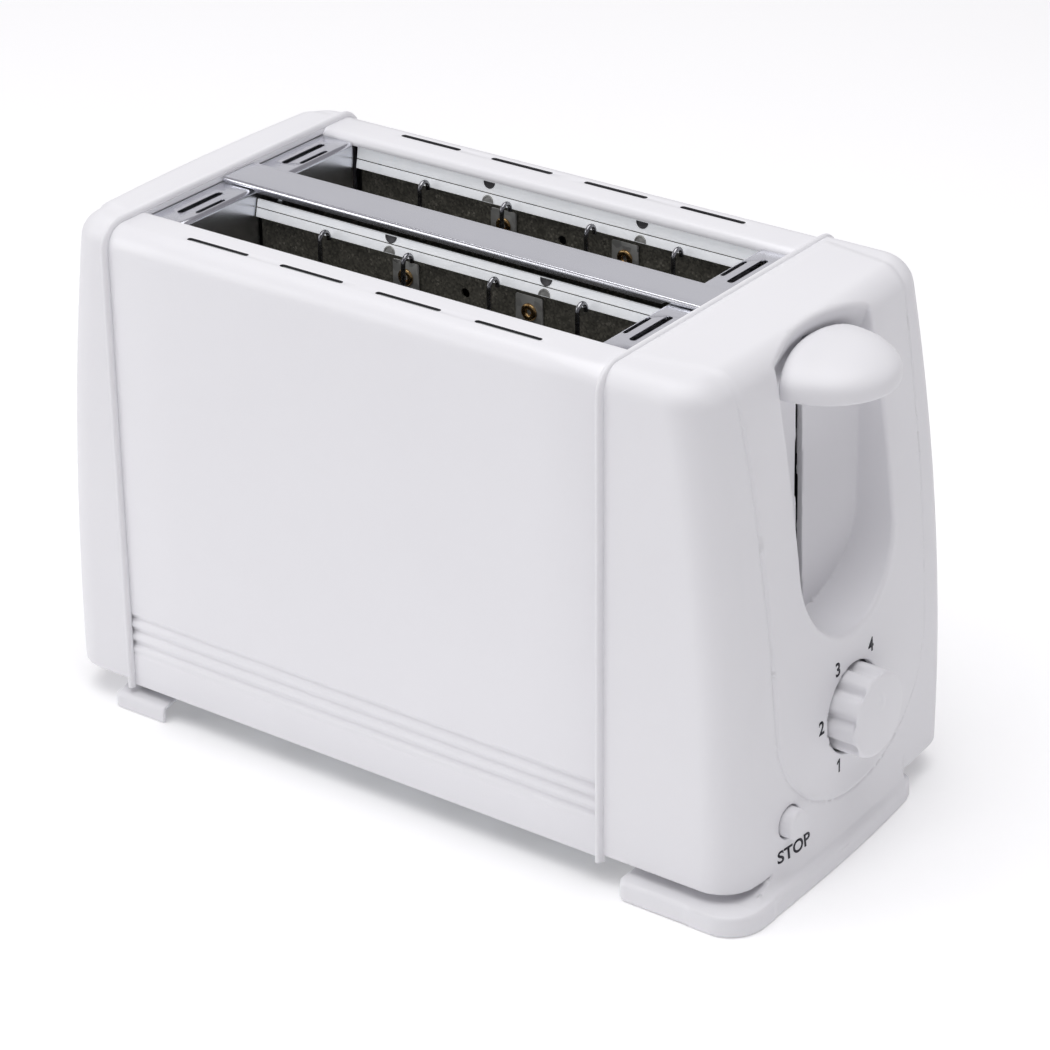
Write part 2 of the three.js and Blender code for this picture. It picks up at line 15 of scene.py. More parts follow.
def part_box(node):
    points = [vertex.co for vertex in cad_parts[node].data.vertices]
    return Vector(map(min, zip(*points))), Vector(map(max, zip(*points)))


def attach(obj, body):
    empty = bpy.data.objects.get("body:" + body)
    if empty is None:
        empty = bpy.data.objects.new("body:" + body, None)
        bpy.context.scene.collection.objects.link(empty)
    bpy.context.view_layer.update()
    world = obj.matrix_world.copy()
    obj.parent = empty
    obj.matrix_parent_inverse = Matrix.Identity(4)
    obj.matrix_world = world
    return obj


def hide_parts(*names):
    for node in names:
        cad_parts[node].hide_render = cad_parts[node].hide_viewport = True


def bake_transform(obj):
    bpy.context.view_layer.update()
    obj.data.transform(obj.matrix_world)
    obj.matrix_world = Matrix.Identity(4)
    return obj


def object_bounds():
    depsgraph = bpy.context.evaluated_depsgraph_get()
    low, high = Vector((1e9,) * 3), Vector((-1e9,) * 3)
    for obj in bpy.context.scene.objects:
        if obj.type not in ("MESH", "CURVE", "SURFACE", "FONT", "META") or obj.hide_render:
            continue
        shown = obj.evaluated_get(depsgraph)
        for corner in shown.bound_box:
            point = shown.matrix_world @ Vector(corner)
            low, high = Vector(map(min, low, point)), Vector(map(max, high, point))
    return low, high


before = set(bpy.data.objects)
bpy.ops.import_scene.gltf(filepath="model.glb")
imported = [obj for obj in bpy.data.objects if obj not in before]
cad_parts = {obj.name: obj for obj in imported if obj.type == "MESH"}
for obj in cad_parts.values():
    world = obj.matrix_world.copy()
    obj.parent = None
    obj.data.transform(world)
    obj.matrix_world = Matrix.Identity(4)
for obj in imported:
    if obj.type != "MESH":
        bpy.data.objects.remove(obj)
cad_low, cad_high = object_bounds()

# ---------------------------------------------------------------- sizes shared with the CAD, mm
shell_low, shell_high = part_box("body_shell")
CHAMBER_X = 500 * (shell_low.x + shell_high.x)
TOP = 1000 * shell_high.z
SHELL_BOTTOM = 1000 * shell_low.z
HALF_WIDTH = 1000 * shell_high.y
SHELL_END = 500 * (shell_high.x - shell_low.x)
SHELL_R = 7.5
SEAM = SHELL_END + 0.3
OPENING_Y = 43.7
OPENING_X = 93
CAP_BOTTOM = 10.1
REST_TOP = 1000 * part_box("front_bread_rest")[1].z
SLOT_Y = 26.1
BOARD_IN, BOARD_OUT = 5.2, 46.9
KNOB_Z = 500 * sum(p.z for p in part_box("browning_knob"))
STOP_Y = 500 * sum(p.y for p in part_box("stop_button"))
STOP_Z = 500 * sum(p.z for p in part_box("stop_button"))

CORD_Y, CORD_Z = 38, 26
BOX_LOW = np.array(cad_low) * 1000 - (CHAMBER_X, 0, 0)
BOX_HIGH = np.array(cad_high) * 1000 - (CHAMBER_X, 0, 0)

LEVER_Y = 0.8  # the lever, its scoop and its slit sit this far behind the middle
LEVER_END = (144.2, 0.00069)  # x of the end face at its foot, and its lean per height squared
PLAIN_END = (122.9, 0.00051)
LEAN_FROM = 20
BULGE, BULGE_HALF = 1.6, 51.5
PANEL_RISE = 0.6


# ---------------------------------------------------------------- distance fields
def cut(a, b, r=0.0):
    """Where both fields are inside, with the shared edge rounded to radius r."""
    past = np.hypot(np.maximum(a + r, 0), np.maximum(b + r, 0))
    return np.minimum(-r, np.maximum(a, b)) + past


def join(a, b, r=0.0):
    """Where either field is inside, with the inner corner filled to radius r."""
    return -cut(-a, -b, r)


def slab(v, low, high):
    """Negative between low and high."""
    return np.maximum(low - v, v - high)


def smooth(t):
    """Soft step from 0 at t = 0 to 1 at t = 1."""
    t = np.clip(t, 0, 1)
    return t * t * (3 - 2 * t)


def ellipse(a, b, ra, rb):
    k = np.hypot(a / ra, b / rb)
    return (k - 1) * min(ra, rb)


def net(field, low, high, cell):
    """Points and outward quads of the field's zero level, one point per crossed cell."""
    low = np.array(low, float)
    count = np.ceil((np.array(high) - low) / cell).astype(int) + 1
    lines = (low[i] + cell * np.arange(count[i]) for i in range(3))
    grid = field(*np.meshgrid(*lines, indexing="ij"))
    m = count - 1
    total, hits = np.zeros((3, *m)), np.zeros(m)

    def corner(c):
        return grid[c[0]:c[0] + m[0], c[1]:c[1] + m[1], c[2]:c[2] + m[2]]

    for start in np.ndindex(2, 2, 2):
        for axis in range(3):
            if start[axis]:
                continue
            end = tuple(1 if i == axis else start[i] for i in range(3))
            a, b = corner(start), corner(end)
            crossed = (a < 0) != (b < 0)
            share = np.where(crossed, a / np.where(crossed, a - b, 1), 0)
            for i in range(3):
                total[i] += crossed * (start[i] + (share if i == axis else 0))
            hits += crossed
    live = hits > 0
    index = np.full(m, -1)
    index[live] = np.arange(live.sum())
    points = low + cell * (np.argwhere(live) + (total[:, live] / hits[live]).T)
    quads = []
    for axis in range(3):
        u, v = (axis + 1) % 3, (axis + 2) % 3
        inside = grid < 0
        first = inside.take(range(count[axis] - 1), axis)
        second = inside.take(range(1, count[axis]), axis)
        at = np.argwhere(first != second)
        at = at[(at[:, u] > 0) & (at[:, v] > 0) & (at[:, u] < m[u]) & (at[:, v] < m[v])]
        ring = []
        for du, dv in ((0, 0), (1, 0), (1, 1), (0, 1)):
            c = at.copy()
            c[:, u] -= du
            c[:, v] -= dv
            ring.append(index[tuple(c.T)])
        quad = np.stack(ring, 1)
        outward = first[tuple(at.T)]
        quad[~outward] = quad[~outward][:, ::-1]
        quads.append(quad)
    return points, np.concatenate(quads)


def slope(points, field):
    """The field's gradient at the points, by central differences."""
    h = 0.04
    steps = np.eye(3) * h
    rise = [field(*(points + s).T) - field(*(points - s).T) for s in steps]
    return np.stack(rise, 1) / (2 * h)


def settle(points, field, reach):
    """Moves points onto the field's zero level, by no more than reach at a time."""
    rounds, least = 4, 0.05
    for _ in range(rounds):
        g = slope(points, field)
        step = field(*points.T)[:, None] * g / np.maximum((g ** 2).sum(1), least)[:, None]
        length = np.linalg.norm(step, axis=1, keepdims=True)
        points = points - step * np.minimum(1, reach / np.maximum(length, 1e-9))
    return points


# ---------------------------------------------------------------- making pieces
def material_of(obj, material):
    obj.data.materials.clear()
    obj.data.materials.append(material)


def place(obj, body, material, replaces=()):
    """Finishes a piece: its material, its body and the CAD nodes it stands in for."""
    material_of(obj, material)
    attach(obj, body)
    if replaces:
        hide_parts(*replaces)
    return obj


def to_object(name, mesh):
    obj = bpy.data.objects.new(name, mesh)
    bpy.context.scene.collection.objects.link(obj)
    return obj


def metres(points):
    """Chamber millimetres to metres in the row frame."""
    p = np.asarray(points, float).reshape(-1, 3) + (CHAMBER_X, 0, 0)
    return p / 1000


def make(name, points, faces, sharp=None):
    """A mesh object from chamber millimetres. sharp is the crease angle in degrees."""
    mesh = bpy.data.meshes.new(name)
    mesh.from_pydata(metres(points).tolist(), [], [list(map(int, f)) for f in faces])
    bm = bmesh.new()
    bm.from_mesh(mesh)
    bmesh.ops.remove_doubles(bm, verts=bm.verts, dist=1e-7)
    bmesh.ops.recalc_face_normals(bm, faces=bm.faces)
    bm.to_mesh(mesh)
    bm.free()
    mesh.shade_smooth()
    if sharp is not None:
        mesh.set_sharp_from_angle(angle=math.radians(sharp))
    return to_object(name, mesh)


def mould(name, field, low, high, cell, fine=None, finer=None):
    """A moulded piece: the zero level of a field.

    Faces are split where fine(x, y, z) is true, and once more where finer(x, y, z) is true.
    Normals come from the field, or from the mesh where the two disagree.
    """
    agree = 0.6
    points, quads = net(field, low, high, cell)
    points = settle(points, field, cell)
    mesh = bpy.data.meshes.new(name)
    mesh.from_pydata(points.tolist(), [], quads.tolist())
    for where in filter(None, (fine, finer)):
        bm = bmesh.new()
        bm.from_mesh(mesh)
        co = np.array([v.co for v in bm.verts])
        marked = where(*co.T)
        bm.verts.index_update()
        edges = [e for e in bm.edges if all(marked[v.index] for v in e.verts)]
        bmesh.ops.subdivide_edges(bm, edges=edges, cuts=1, use_grid_fill=True)
        bm.to_mesh(mesh)
        bm.free()
        co = np.array([v.co for v in mesh.vertices])
        co = settle(co, field, cell / 2)
        mesh.vertices.foreach_set("co", co.ravel())
    co = np.array([v.co for v in mesh.vertices])
    co = np.clip(co, BOX_LOW, BOX_HIGH)
    normals = slope(co, field)
    normals /= np.maximum(np.linalg.norm(normals, axis=1, keepdims=True), 1e-9)
    mesh.vertices.foreach_set("co", metres(co).ravel())
    mesh.update()
    own = np.array([v.normal for v in mesh.vertices])
    normals = np.where((normals * own).sum(1, keepdims=True) < agree, own, normals)
    mesh.shade_smooth()
    mesh.normals_split_custom_set_from_vertices(normals.tolist())
    return to_object(name, mesh)


def arc(cx, cy, r, a0, a1, n):
    """n + 1 points from angle a0 to a1, in degrees."""
    turns = [math.radians(a0 + (a1 - a0) * i / n) for i in range(n + 1)]
    return [(cx + r * math.cos(a), cy + r * math.sin(a)) for a in turns]


def skin(rings, n, base=0):
    """Quads between rings of n points each, and the two end faces."""
    faces = [(base + i * n + j, base + i * n + (j + 1) % n,
              base + (i + 1) * n + (j + 1) % n, base + (i + 1) * n + j)
             for i in range(rings - 1) for j in range(n)]
    last = base + (rings - 1) * n
    return faces + [tuple(range(base, base + n)), tuple(range(last, last + n))]


def sweep_x(name, profile, xs, sharp=35):
    """A closed (y, z) outline carried along x."""
    points = [(x, y, z) for x in xs for y, z in profile]
    return make(name, points, skin(len(xs), len(profile)), sharp)


def tube_points(path, r, sides):
    """Rings round a path, carried along it without twist."""
    p = np.array(path, float)
    t = np.gradient(p, axis=0)
    t /= np.linalg.norm(t, axis=1, keepdims=True)
    slanted = (0.31, 0.87, 0.38)  # along no wire of this toaster
    side = np.cross(t[0], slanted)
    rings = []
    for i in range(len(p)):
        side = side - t[i] * (side @ t[i])
        side /= np.linalg.norm(side)
        up = np.cross(t[i], side)
        a = np.arange(sides) * 2 * math.pi / sides
        rings.append(p[i] + r * (np.cos(a)[:, None] * side + np.sin(a)[:, None] * up))
    return np.array(rings)


def tubes(name, paths, r, sides):
    """One piece of round wire or more, each along its own path."""
    points, faces = [], []
    for path in paths:
        rings = tube_points(path, r, sides)
        faces += skin(len(rings), sides, len(points))
        points += rings.reshape(-1, 3).tolist()
    return make(name, points, faces, 50)


def turned(name, profile, centre, into, sides=28, sharp=50):
    """A closed (radius, height) outline turned about y; into is 1 or -1, the way heights grow."""
    u, v = ((0, 0, 1), (1, 0, 0)) if into > 0 else ((1, 0, 0), (0, 0, 1))
    u, v, w = (np.array(d, float) for d in (u, v, (0, into, 0)))
    n = len(profile)
    points = []
    for k in range(sides):
        a = 2 * math.pi * k / sides
        for r, h in profile:
            points.append(np.array(centre) + r * (math.cos(a) * u + math.sin(a) * v) + h * w)
    faces = []
    for k in range(sides):
        this, following = k * n, (k + 1) % sides * n
        faces += [(this + j, this + (j + 1) % n, following + (j + 1) % n, following + j)
                  for j in range(n)]
    return make(name, points, faces, sharp)


def slot_cutter(centre, half, r, depth, along="x"):
    """Points and faces of an upright prism with rounded ends, used to pierce sheet metal."""
    n = 8
    cx, cy, cz = centre
    straight = half - r
    outline = ([(straight + r * math.cos(a), r * math.sin(a))
                for a in np.linspace(-math.pi / 2, math.pi / 2, n + 1)]
               + [(-straight + r * math.cos(a), r * math.sin(a))
                  for a in np.linspace(math.pi / 2, 3 * math.pi / 2, n + 1)])
    if along == "y":
        outline = [(-b, a) for a, b in outline]
    k = len(outline)
    points = [(cx + a, cy + b, cz + h) for h in (-depth, depth) for a, b in outline]
    faces = [(j, (j + 1) % k, k + (j + 1) % k, k + j) for j in range(k)]
    faces += [tuple(reversed(range(k))), tuple(range(k, 2 * k))]
    return points, faces


def as_built(obj):
    """A mesh of the object as its modifiers or its lettering make it."""
    graph = bpy.context.evaluated_depsgraph_get()
    return bpy.data.meshes.new_from_object(obj.evaluated_get(graph))


def pierce(obj, cutters, sharp):
    """Cuts the prisms out of the sheet and rounds its edges."""
    edge = 0.12
    points, faces = [], []
    for p, f in cutters:
        base = len(points)
        points += p
        faces += [tuple(base + i for i in face) for face in f]
    tool = make(obj.name + ".tool", points, faces)
    cutter = obj.modifiers.new("pierce", "BOOLEAN")
    cutter.operation, cutter.solver, cutter.object = "DIFFERENCE", "EXACT", tool
    bevel = obj.modifiers.new("edge", "BEVEL")
    bevel.width, bevel.segments, bevel.limit_method = edge / 1000, 2, "ANGLE"
    bevel.angle_limit = math.radians(40)
    made = as_built(obj)
    obj.modifiers.clear()
    obj.data = made
    bpy.data.objects.remove(tool)
    made.shade_smooth()
    made.set_sharp_from_angle(angle=math.radians(sharp))


# ---------------------------------------------------------------- materials
class Nodes:
    """Short hand for building one Principled material."""

    def __init__(self, name, **sockets):
        self.material = bpy.data.materials.new(name)
        self.material.use_nodes = True
        self.tree = self.material.node_tree
        self.shader = self.tree.nodes["Principled BSDF"]
        self.place = self.tree.nodes.new("ShaderNodeTexCoord").outputs["Object"]
        for key, value in sockets.items():
            self.shader.inputs[key.replace("_", " ")].default_value = value

    def node(self, kind, **inputs):
        n = self.tree.nodes.new(kind)
        for key, value in inputs.items():
            socket = n.inputs[key.replace("_", " ")]
            if isinstance(value, bpy.types.NodeSocket):
                self.tree.links.new(value, socket)
            else:
                socket.default_value = value
        return n

    def stretched(self, scale):
        mapping = self.node("ShaderNodeMapping", Vector=self.place)
        mapping.inputs["Scale"].default_value = scale
        return mapping.outputs["Vector"]

    def noise(self, scale, detail=2.0, rough=0.5, vector=None):
        n = self.node("ShaderNodeTexNoise", Vector=vector or self.place, Scale=scale,
                      Detail=detail, Roughness=rough)
        return n.outputs["Fac"]

    def cells(self, scale):
        return self.node("ShaderNodeTexVoronoi", Vector=self.place, Scale=scale).outputs["Color"]

    def ramp(self, fac, stops):
        n = self.tree.nodes.new("ShaderNodeValToRGB")
        self.tree.links.new(fac, n.inputs["Fac"])
        elements = n.color_ramp.elements
        while len(elements) < len(stops):
            elements.new(0.5)
        for element, (at, colour) in zip(elements, stops):
            element.position = at
            element.color = (*colour, 1)
        return n.outputs["Color"]

    def colour(self, fac, *stops):
        self.tree.links.new(self.ramp(fac, stops), self.shader.inputs["Base Color"])

    def roughness(self, fac, low, high):
        n = self.node("ShaderNodeMapRange", Value=fac)
        n.inputs["To Min"].default_value, n.inputs["To Max"].default_value = low, high
        self.tree.links.new(n.outputs["Result"], self.shader.inputs["Roughness"])

    def bump(self, height, strength, depth):
        n = self.node("ShaderNodeBump", Height=height, Strength=strength, Distance=depth)
        self.tree.links.new(n.outputs["Normal"], self.shader.inputs["Normal"])

    def mix(self, a, b, fac=0.5):
        n = self.tree.nodes.new("ShaderNodeMix")
        n.data_type = "FLOAT"
        n.inputs[0].default_value = fac
        self.tree.links.new(a, n.inputs[2])
        self.tree.links.new(b, n.inputs[3])
        return n.outputs[0]


def white_plastic():
    m = Nodes("white_plastic", Specular_IOR_Level=0.42, IOR=1.46)
    m.colour(m.noise(14, 3), (0.3, (0.800, 0.797, 0.822)), (0.7, (0.822, 0.819, 0.842)))
    m.roughness(m.noise(700, 2), 0.36, 0.46)
    m.bump(m.mix(m.noise(2600, 3, 0.6), m.noise(420, 2), 0.35), 0.12, 0.0001)
    return m.material


def white_paint():
    m = Nodes("white_paint", Specular_IOR_Level=0.5, Coat_Weight=0.15, Coat_Roughness=0.2)
    m.colour(m.noise(9, 3), (0.3, (0.815, 0.812, 0.838)), (0.7, (0.835, 0.832, 0.858)))
    m.roughness(m.noise(260, 3), 0.28, 0.38)
    m.bump(m.noise(620, 2, 0.45), 0.1, 0.0002)
    return m.material


def chrome():
    m = Nodes("chrome", Metallic=1.0)
    brushed = m.stretched((12, 260, 260))
    m.colour(m.noise(30, 3), (0.3, (0.78, 0.79, 0.84)), (0.7, (0.81, 0.82, 0.87)))
    m.roughness(m.noise(6, 4, 0.6, brushed), 0.21, 0.27)
    m.bump(m.noise(8, 3, 0.5, brushed), 0.012, 0.0001)
    return m.material


def galvanised(name, dark, light, **sockets):
    """Zinc coated sheet with spangles a few millimetres across and light scuffs."""
    m = Nodes(name, **sockets)
    spangle = m.cells(420)
    scuff = m.noise(160, 5, 0.65)
    m.colour(m.mix(spangle, scuff, 0.45), (0.25, dark), (0.62, light), (0.8, light))
    m.roughness(m.mix(spangle, scuff, 0.6), 0.16, 0.5)
    m.bump(m.mix(scuff, m.noise(2400, 2), 0.4), 0.07, 0.0002)
    return m.material


def mica():
    m = Nodes("mica", Specular_IOR_Level=0.35)
    speck = m.cells(1500)
    cloud = m.noise(240, 5, 0.7)
    m.colour(m.mix(speck, cloud, 0.55),
             (0.3, (0.05, 0.048, 0.038)), (0.5, (0.09, 0.086, 0.07)),
             (0.66, (0.14, 0.132, 0.108)), (0.8, (0.30, 0.285, 0.24)))
    m.roughness(cloud, 0.42, 0.8)
    m.bump(m.mix(speck, cloud), 0.35, 0.0002)
    return m.material


def worn_metal(name, dark, light, rough=(0.25, 0.5), scale=320):
    m = Nodes(name, Metallic=1.0)
    grain = m.noise(scale, 4, 0.62)
    m.colour(grain, (0.3, dark), (0.7, light))
    m.roughness(m.noise(scale * 2.3, 3), *rough)
    m.bump(grain, 0.12, 0.0001)
    return m.material


def moulded(name, dark, light, rough=(0.45, 0.6)):
    m = Nodes(name)
    m.colour(m.noise(60, 3), (0.3, dark), (0.7, light))
    m.roughness(m.noise(900, 2), *rough)
    m.bump(m.noise(1800, 3), 0.15, 0.0001)
    return m.material


def printed_ink():
    m = Nodes("printed_ink", Specular_IOR_Level=0.3)
    m.colour(m.noise(900, 3), (0.3, (0.012, 0.012, 0.018)), (0.7, (0.03, 0.03, 0.04)))
    m.roughness(m.noise(1500, 2), 0.45, 0.6)
    m.bump(m.noise(2500, 2), 0.1, 0.00005)
    return m.material


PLASTIC = white_plastic()
PAINT = white_paint()
CHROME = chrome()
ZINC = galvanised("zinc_sheet", (0.40, 0.42, 0.45), (0.86, 0.88, 0.92), Metallic=1.0)
# the photo's strips are burnt out by a light along the slots, which a faint glow stands in for
# painted highlight: near-white colours and a glow paint the light that the strips reflect
GLOWING_ZINC = galvanised("zinc_painted_glow", (0.90, 0.92, 0.95), (0.97, 0.98, 1.0), Metallic=0.2,
                         Emission_Color=(0.94, 0.97, 1, 1), Emission_Strength=0.3)
# painted shade: a near-black material for dark openings, the wrap's inner faces and its vent walls
SHADE_BLACK = moulded("painted_shade_black", (0.05, 0.05, 0.055), (0.08, 0.08, 0.085))
TABS = galvanised("tab_plate", (0.26, 0.26, 0.25), (0.42, 0.42, 0.40), Metallic=0.5)
STEEL = worn_metal("steel", (0.30, 0.30, 0.31), (0.62, 0.62, 0.64))
WIRE = worn_metal("guard_wire", (0.10, 0.10, 0.11), (0.46, 0.46, 0.48), (0.16, 0.32))
NICHROME = worn_metal("nichrome", (0.05, 0.045, 0.04), (0.16, 0.14, 0.12), (0.35, 0.6))
BRASS = worn_metal("brass", (0.22, 0.12, 0.045), (0.52, 0.36, 0.17), (0.18, 0.36), 500)
COPPER = worn_metal("copper", (0.30, 0.10, 0.04), (0.62, 0.27, 0.13), (0.25, 0.4), 700)
MICA = mica()
LAMINATE = moulded("circuit_laminate", (0.02, 0.09, 0.035), (0.035, 0.13, 0.05), (0.3, 0.45))
BLACK = moulded("black_plastic", (0.012, 0.012, 0.014), (0.03, 0.03, 0.034))
INK = printed_ink()

# ---------------------------------------------------------------- end caps
PANEL_Y, PANEL_HALF, PANEL_BEND_Z, PANEL_DROP, PANEL_EDGE = 1.6, 42.6, 60, 39.4, 1.1
GROOVE_AT, GROOVE_HALF, GROOVE_DEPTH = 0.65, 0.4, 0.4
CORNER_R, CAP_TOP_R = 12, 7.5
WALL, SCOOP_WALL, HOLLOW_BOTTOM = 3, 2.3, 12.5
RECESS_W, RECESS_MID, RECESS_LOW = 26.2, 103, 75.2
RECESS_BACK, RECESS_LEAN, RECESS_SAG, RECESS_FLARE = 121.8, 0.0286, 5.4, 3.5
SLIT_HALF, SLIT_LOW, SLIT_HIGH = 1.8, 79.5, 167.2
DIAL_HOLE_R, STOP_HOLE_R, CORD_HOLE_R = 14.9, 5.5, 5.4
END_WALL_X = 132  # the holes of the lever cap go through what lies beyond it
END_FACE_X = 97
FOOT_TOP = 6.8
CAP_CELL = 1.25


def panel(x, y, z):
    """1 on the raised U-shaped field of an end face, 0 outside it, less a groove at its edge."""
    y = y - PANEL_Y
    low = ellipse(y, np.minimum(z - PANEL_BEND_Z, 0), PANEL_HALF, PANEL_DROP)
    half = PANEL_HALF + 0.03 * (z - PANEL_BEND_Z)
    half = half + 0.17 * np.maximum(0, 133 - x) * smooth((z - 150) / 15)
    away = np.where(z < PANEL_BEND_Z, low, np.abs(y) - half)
    groove = GROOVE_DEPTH * np.exp(-((away - GROOVE_AT) / GROOVE_HALF) ** 2)
    groove = groove * smooth((168 - z) / 8)
    return smooth(0.5 - away / (PANEL_EDGE + 2.5 * smooth((z - 160) / 10))) - groove


def end_wall(y, z, end):
    """x of an end face without its raised panel."""
    reach, curve = end
    lean = curve * np.maximum(0, z - LEAN_FROM) ** 2
    return reach - lean + BULGE * (1 - (y / BULGE_HALF) ** 2) - PANEL_RISE


def cap_outside(x, y, z, end):
    """A cap without scoop, holes and foot, as a solid block."""
    lift = PANEL_RISE * panel(x, y, z)
    plan = cut(np.abs(y) - HALF_WIDTH, x - end_wall(y, z, end) - lift, CORNER_R)
    return cut(plan, z - TOP - 1 - lift * smooth((x - 96) / 3), CAP_TOP_R)


def cap_shell(x, y, z, end, outside, air=None):
    """The outside hollowed to the wall thickness, with a floor and open towards the wrap."""
    inside = cap_outside(x, y, z, end) + WALL
    if air is not None:
        inside = np.maximum(inside, SCOOP_WALL - air)
    hollow = np.maximum(inside, HOLLOW_BOTTOM - z)
    return cut(np.maximum(cut(outside, CAP_BOTTOM - z, 0.8), -hollow), SEAM - x, 0.3)


def recess_back(y, z):
    """x of the scoop's back."""
    lean = RECESS_LEAN * (152 - z) + RECESS_FLARE * smooth((z - 160) / 13)
    return RECESS_BACK + lean + RECESS_SAG * ((y - LEVER_Y) / RECESS_W) ** 2


def recess_side(x, y, z):
    """Negative between the scoop's side walls and above its round bottom."""
    w = 25 + 0.12 * (x - 126) + 0.02 * (np.clip(z, 78, 170) - 125)
    h = RECESS_MID - RECESS_LOW
    return (np.hypot((y - LEVER_Y) / w, np.minimum(z - RECESS_MID, 0) / h) - 1) * h


def recess(x, y, z):
    """The scoop for the lever: U-shaped from the end, with a leaning, shallow cylindrical back."""
    return cut(recess_side(x, y, z), recess_back(y, z) - x, 0.45)


def foot_edge(y):
    """x of the lever foot's outer edge."""
    return 149.2 - 0.0009 * np.maximum(0, np.abs(y + 30) - 6) ** 2


def lever_foot(x, y, z):
    """The flat foot that runs round the front corner, with its neck up into the cap."""
    outline = cut(-68 - y, x - foot_edge(y), 11.5)
    front = cut(cut(outline, 103.6 - x, 3.4), y + 50, 1)
    end = cut(cut(outline, y - 38, 4), 130 - x, 1)
    plate = cut(cut(join(front, end, 2), z - FOOT_TOP, 1.5), 0.12 - z, 0.8)
    neck = np.maximum(np.maximum(slab(x, 112, 136), slab(y, -56, -51)), slab(z, 5, 12))
    return join(plate, neck, 0.5)


def skirt(x, y, z):
    """The end face flared out to the edge of the foot."""
    rise = np.clip((z - 5) / 21, 0, 1)
    face = end_wall(y, z, LEVER_END) + PANEL_RISE * panel(x, y, z)
    edge = foot_edge(y) - 0.3
    surface = edge + (face - edge) * np.sqrt(1 - (1 - rise) ** 2)
    surface -= (surface - face) * smooth((-33 - y) / 11) * smooth((z - 6) / 5)
    left = -43.5 - 13.5 * np.clip((10.6 - z) / 3.8, 0, 1) ** 2 - y
    body = cut(cut(x - surface, left, 0.5), y - 33.5, 1.5)
    return np.maximum(np.maximum(body, slab(z, 0.6, 27)), END_WALL_X - x)


def dial_hole(y, z):
    return np.hypot(y, z - KNOB_Z) - DIAL_HOLE_R


def stop_hole(y, z):
    return np.hypot(y - STOP_Y, z - STOP_Z) - STOP_HOLE_R


def lever_cap(x, y, z):
    air = recess(x, y, z)
    outside = cut(cap_outside(x, y, z, LEVER_END), -air, 1.3)
    solid = cap_shell(x, y, z, LEVER_END, outside, air)
    solid = join(solid, join(lever_foot(x, y, z), skirt(x, y, z), 1.5))
    slit = slab(y, LEVER_Y - SLIT_HALF, LEVER_Y + SLIT_HALF)
    slit = np.maximum(slit, slab(z, SLIT_LOW, SLIT_HIGH))
    solid = cut(solid, -np.maximum(slit, slab(x, 108, 131)), 0.3)
    solid = cut(solid, -np.maximum(dial_hole(y, z), END_WALL_X - x), 0.5)
    return cut(solid, -np.maximum(stop_hole(y, z), END_WALL_X - x), 0.5)


def plain_cap(x, y, z):
    x = -x
    outside = cap_outside(x, y, z, PLAIN_END)
    solid = cap_shell(x, y, z, PLAIN_END, outside)
    inlet = np.hypot(y - CORD_Y, z - CORD_Z) - CORD_HOLE_R
    return cut(solid, -np.maximum(inlet, 110 - x), 0.4)


def panel_step(x, y, z, end, least):
    """Where the edge of the raised field lies on the outside of a cap."""
    lift = panel(x, y, z)
    edge = (abs(lift) > least) & (lift < 1 - least)
    return edge & (x > END_FACE_X) & (cap_outside(x, y, z, end) > -1)


def scoop_crease(x, y, z, near):
    """Where the scoop's sides meet its back."""
    return (np.abs(recess_side(x, y, z)) < near) & (np.abs(recess_back(y, z) - x) < near)


def slit_edge(x, y, near, start):
    return (np.abs(np.abs(y - LEVER_Y) - SLIT_HALF) < near) & (x < 125) & (x > start)


def lever_detail(x, y, z):
    """Where the cap needs small faces: panel step, recess rim, holes, foot and slit."""
    rim = np.abs(recess(x, y, z)) < 1.9
    rim = rim & (cap_outside(x, y, z, LEVER_END) > -2.4)
    holes = (np.abs(dial_hole(y, z)) < 1.3) | (np.abs(stop_hole(y, z)) < 1.3)
    return (panel_step(x, y, z, LEVER_END, 0.005) | rim | scoop_crease(x, y, z, 1.3)
            | (holes & (x > 138)) | slit_edge(x, y, 1, 119) | (z < 12.5) & (x > END_FACE_X))


def lever_fine_detail(x, y, z):
    """Where it needs the smallest: panel step, foot edge, scoop crease, slit and STOP hole."""
    stop = (np.abs(stop_hole(y, z)) < 1) & (x > 140)
    return (panel_step(x, y, z, LEVER_END, 0.001) | (z < 1.8) | scoop_crease(x, y, z, 1)
            | slit_edge(x, y, 0.6, 120) | stop)


def plain_detail(x, y, z):
    return panel_step(-x, y, z, PLAIN_END, 0.005)


# the lows keep the cells' corners off the foot's underside, the scoop's crease and the slit
lever_end = mould("lever_end_moulding", lever_cap, (92.95, -69.125, -1.35), (151.5, 65, 175.5),
                  CAP_CELL, lever_detail, lever_fine_detail)
place(lever_end, "chassis", PLASTIC, ["lever_end_cap"])
plain_end = mould("plain_end_moulding", plain_cap, (-126.5, -65, 8), (-93.2, 65, 175.5),
                  CAP_CELL, plain_detail, plain_detail)
place(plain_end, "chassis", PLASTIC, ["plain_end_cap"])


